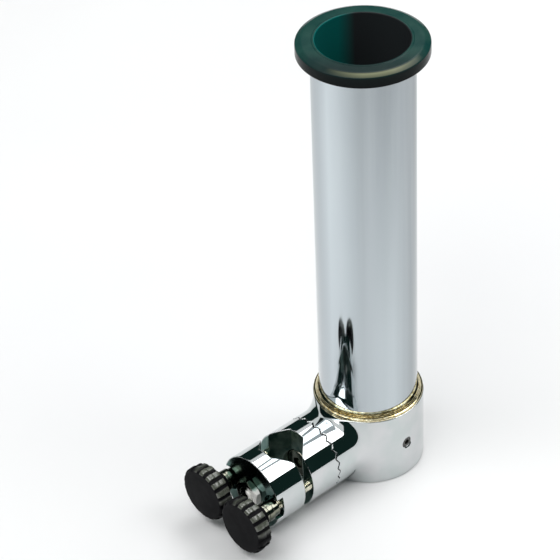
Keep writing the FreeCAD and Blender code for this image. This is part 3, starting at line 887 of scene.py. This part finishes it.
def build_stud(hand, side):
    """The threaded stud: rings that follow the thread, with a chamfer at each end."""
    low, high = box(f"{hand}_knob_screw")
    length = high[0] - low[0]
    radius = (high[1] - low[1]) / 2
    chamfer = 0.6
    rings = int(length / SCREW_PITCH * RINGS_PER_PITCH)
    angle = full_circle(STUD_SEGMENTS)
    points = []
    for along in np.linspace(0, length, rings):
        near_end = radius - chamfer + min(along, length - along)
        flank = thread(angle, along, radius, SCREW_PITCH)
        points.append(ring_of_points(np.minimum(flank, near_end), angle, along))
    faces = bands(rings, STUD_SEGMENTS)
    faces.append(tuple(range(STUD_SEGMENTS))[::-1])
    faces.append(tuple((rings - 1) * STUD_SEGMENTS + i for i in range(STUD_SEGMENTS)))
    points = outward(np.vstack(points), -high[0], side)
    add_piece(f"{hand}_knob_stud", f"{hand}_knob_screw", points, faces, crease=60)


def build_sleeve(node, side, bore, edge, waist=0.0):
    """A turned sleeve with rounded edges, and a shallow groove round it if waist is given."""
    low, high = box(node)
    length = high[0] - low[0]
    radius = (high[1] - low[1]) / 2
    corners = [(bore, 0, 0.1), (radius, 0, edge)]
    if waist:
        corners += [(radius, length * 0.62, 0.08), (radius - waist, length * 0.66, 0.08),
                    (radius - waist, length * 0.74, 0.08), (radius, length * 0.78, 0.08)]
    corners += [(radius, length, edge), (bore, length, 0.1)]
    points, faces = lathe(rounded(corners, 4), SLEEVE_SEGMENTS)
    angle = np.arctan2(points[:, 1], points[:, 0])
    # Painted highlight: the sleeve's top, turned up to the light, is left brighter than its
    # bronzed underside.
    rubbed = np.clip((np.cos(angle - KNOB_SHEEN_ANGLE) - 0.45) / 0.3, 0, 1)
    points = outward(points, -high[0], side)
    add_piece(f"{node}_turned", node, points, faces, crease=50,
              masks={"dull": 1 - 0.22 * rubbed})


def knob_profile(length):
    """(height, rib radius, groove radius) rows from the neck's foot to the edge of the face."""
    neck = length - KNOB_HEAD
    step = neck + KNOB_STEP
    inner = KNOB_RADIUS - KNOB_STEP_IN
    floor = KNOB_RADIUS - FLUTE_DEPTH
    plain = [
        (0, KNOB_BORE),
        (0, NECK_RADIUS - NECK_EDGE),
        (NECK_EDGE, NECK_RADIUS),
        (neck - 1.0, NECK_RADIUS),
        (neck - 0.3, NECK_RADIUS + 0.4),
        (neck, NECK_RADIUS + 1.1),
        (neck, floor - 0.9),
    ]
    rows = [(along, radius, radius) for along, radius in plain]
    rows += [
        (neck + 0.05, inner - 0.6, floor - 0.3),
        (neck + 0.25, inner - 0.2, floor),
        (neck + 0.7, inner, floor),
        (step - 0.1, inner, floor),
        (step + 0.1, KNOB_RADIUS - 0.15, floor),
        (step + 0.35, KNOB_RADIUS, floor),
    ]
    for turn in np.linspace(0, math.pi / 2, 14):
        along = length - RIB_END * (1 - math.sin(turn))
        past = np.clip((along - length) / KNOB_EDGE + 1, 0, 1)
        rim = floor - KNOB_EDGE * (1 - math.sqrt(1 - past ** 2))
        rows.append((along, max(KNOB_RADIUS - RIB_END * (1 - math.cos(turn)), rim), rim))
    return rows


def build_knob(hand, side):
    """Fluted head on a neck. Each ring runs round the ribs and down into the grooves."""
    low, high = box(f"{hand}_knob")
    rows = knob_profile(high[0] - low[0])
    segments = FLUTES * SEGMENTS_PER_FLUTE
    angle = full_circle(segments)
    from_crest = np.abs((angle * FLUTES / FULL_TURN + 0.5) % 1 - 0.5)
    rib = np.clip((0.32 - from_crest) / 0.08, 0, 1)
    rib = rib * rib * (3 - 2 * rib)
    # Painted sheen: only the ribs on the side turned up to the light get it, a window of angles
    # round the knob.
    rubbed = np.clip((KNOB_SHEEN_HALF - angle_off(angle, KNOB_SHEEN_ANGLE)) / 0.25, 0, 1)
    points = []
    wear_and_sheen = []
    for along, crest, floor in rows:
        points.append(ring_of_points(floor + (crest - floor) * rib, angle, along))
        # Rubbed rib crests, with the painted sheen only inside the window.
        wear_and_sheen.append(rib * rubbed * (crest > floor + 0.03) * (along > 0.5))
    points = np.vstack(points + [[[0, 0, 0]], [[0, 0, rows[-1][0]]]])
    faces = bands(len(rows), segments)
    foot, face = len(points) - 2, len(points) - 1
    last = (len(rows) - 1) * segments
    for i in range(segments):
        after = (i + 1) % segments
        faces.append((foot, after, i))
        faces.append((face, last + i, last + after))
    points = outward(points, -high[0], side)
    add_piece(f"{hand}_knob_moulding", f"{hand}_knob", points, faces, crease=40,
              masks={"wear_and_sheen": np.append(np.concatenate(wear_and_sheen), [0, 0])})


def build_knob_set(hand, side):
    """A knob with its stud and its two sleeves. side is 1 towards +Y and -1 towards -Y."""
    build_knob(hand, side)
    build_stud(hand, side)
    build_sleeve(f"{hand}_ferrule", side, FERRULE_BORE, 0.35, FERRULE_WAIST)
    build_sleeve(f"{hand}_thrust_bush", side, SCREW_HOLE, 0.3)


build_tube()
build_insert()
build_ring()
carve_piece("socket_cup", cup_field, 0.45, cut=arm_end)
carve_piece("inner_jaw", inner_jaw_field, 0.32, cut=cut_faces, slot=groove_walls)
carve_piece("outer_jaw", outer_jaw_field, 0.32, cut=cut_faces, slot=groove_walls)
carve_piece("tube_set_screw", set_screw_field, 0.12)
carve_piece("pivot_bolt", pivot_bolt_field, 0.25, dull=bronze_bolt_lit_rim)
carve_piece("pivot_washer", washer_field, 0.2)
# The nut and the pressure screw carry a painted white reflection on their -Y side.
carve_piece("lock_nut", nut_field, 0.18, plated=white_reflection_side, dull=everywhere)
carve_piece("pressure_screw", pressure_screw_field, 0.14, plated=white_reflection_side, dull=everywhere)
build_knob_set("left", 1)
build_knob_set("right", -1)


# ---- studio --------------------------------------------------------------------------------
# Lengths here are metres.

FLOOR_HALF = 12.0
GLOW = 0.8
GLOW_START = 0.8
GLOW_END = 2.4

WORLD_COLOR = (0.16, 0.44, 0.38, 1)
WORLD_STRENGTH = 0.05

CAMERA_PLACE = Vector((-0.67407, -0.70129, 0.83891))
CAMERA_RIGHT = Vector((0.7313, -0.6814, -0.0315))
CAMERA_UP = Vector((0.4313, 0.4261, 0.7953))
CAMERA_LENS = 176.97
SENSOR = 36


def build_floor():
    """White paper that glows where the lamps no longer reach it, as a lit cove would."""
    mesh = bpy.data.meshes.new("floor")
    half = FLOOR_HALF
    mesh.from_pydata([(-half, -half, 0), (half, -half, 0), (half, half, 0), (-half, half, 0)],
                     [], [(0, 1, 2, 3)])
    floor = bpy.data.objects.new("floor", mesh)
    bpy.context.scene.collection.objects.link(floor)
    shade = Shade("floor_paper", roughness=0.9)
    shade.feed("Base Color", shade.mottle(3, 3, (0.80, 0.80, 0.81), (0.84, 0.84, 0.84)))
    shade.surface.inputs["Emission Color"].default_value = (1, 1, 1, 1)
    shade.feed("Emission Strength",
               shade.span(shade.from_origin(), 0, GLOW, GLOW_START, GLOW_END))
    mesh.materials.append(shade.material)


def add_softbox(name, place, width, depth, radiance):
    """A rectangular area light that faces straight down, as bright all over as radiance."""
    lamp = bpy.data.lights.new(name, "AREA")
    lamp.shape = "RECTANGLE"
    lamp.size = width
    lamp.size_y = depth
    lamp.energy = radiance * math.pi * width * depth
    light = bpy.data.objects.new(name, lamp)
    light.location = place
    bpy.context.scene.collection.objects.link(light)


def build_world():
    world = bpy.data.worlds.new("studio")
    world.use_nodes = True
    background = world.node_tree.nodes["Background"]
    background.inputs["Color"].default_value = WORLD_COLOR
    background.inputs["Strength"].default_value = WORLD_STRENGTH
    bpy.context.scene.world = world


def build_camera():
    lens = bpy.data.cameras.new("camera")
    lens.lens = CAMERA_LENS
    lens.sensor_width = SENSOR
    camera = bpy.data.objects.new("camera", lens)
    back = CAMERA_RIGHT.cross(CAMERA_UP).normalized()
    turn = Matrix((CAMERA_RIGHT, CAMERA_UP, back)).transposed()
    camera.matrix_world = Matrix.Translation(CAMERA_PLACE) @ turn.to_4x4()
    bpy.context.scene.collection.objects.link(camera)
    bpy.context.scene.camera = camera


build_floor()
build_world()
add_softbox("overhead", place=(0.2, 0, 1.62), width=3.0, depth=3.2, radiance=0.9)
add_softbox("right_strip", place=(1.0, -0.3, 1.6), width=1.0, depth=2.6, radiance=3.1)
add_softbox("left_strip", place=(-1.0, 0.1, 1.6), width=0.8, depth=1.8, radiance=4.4)
build_camera()
bpy.context.scene.view_settings.view_transform = "Standard"
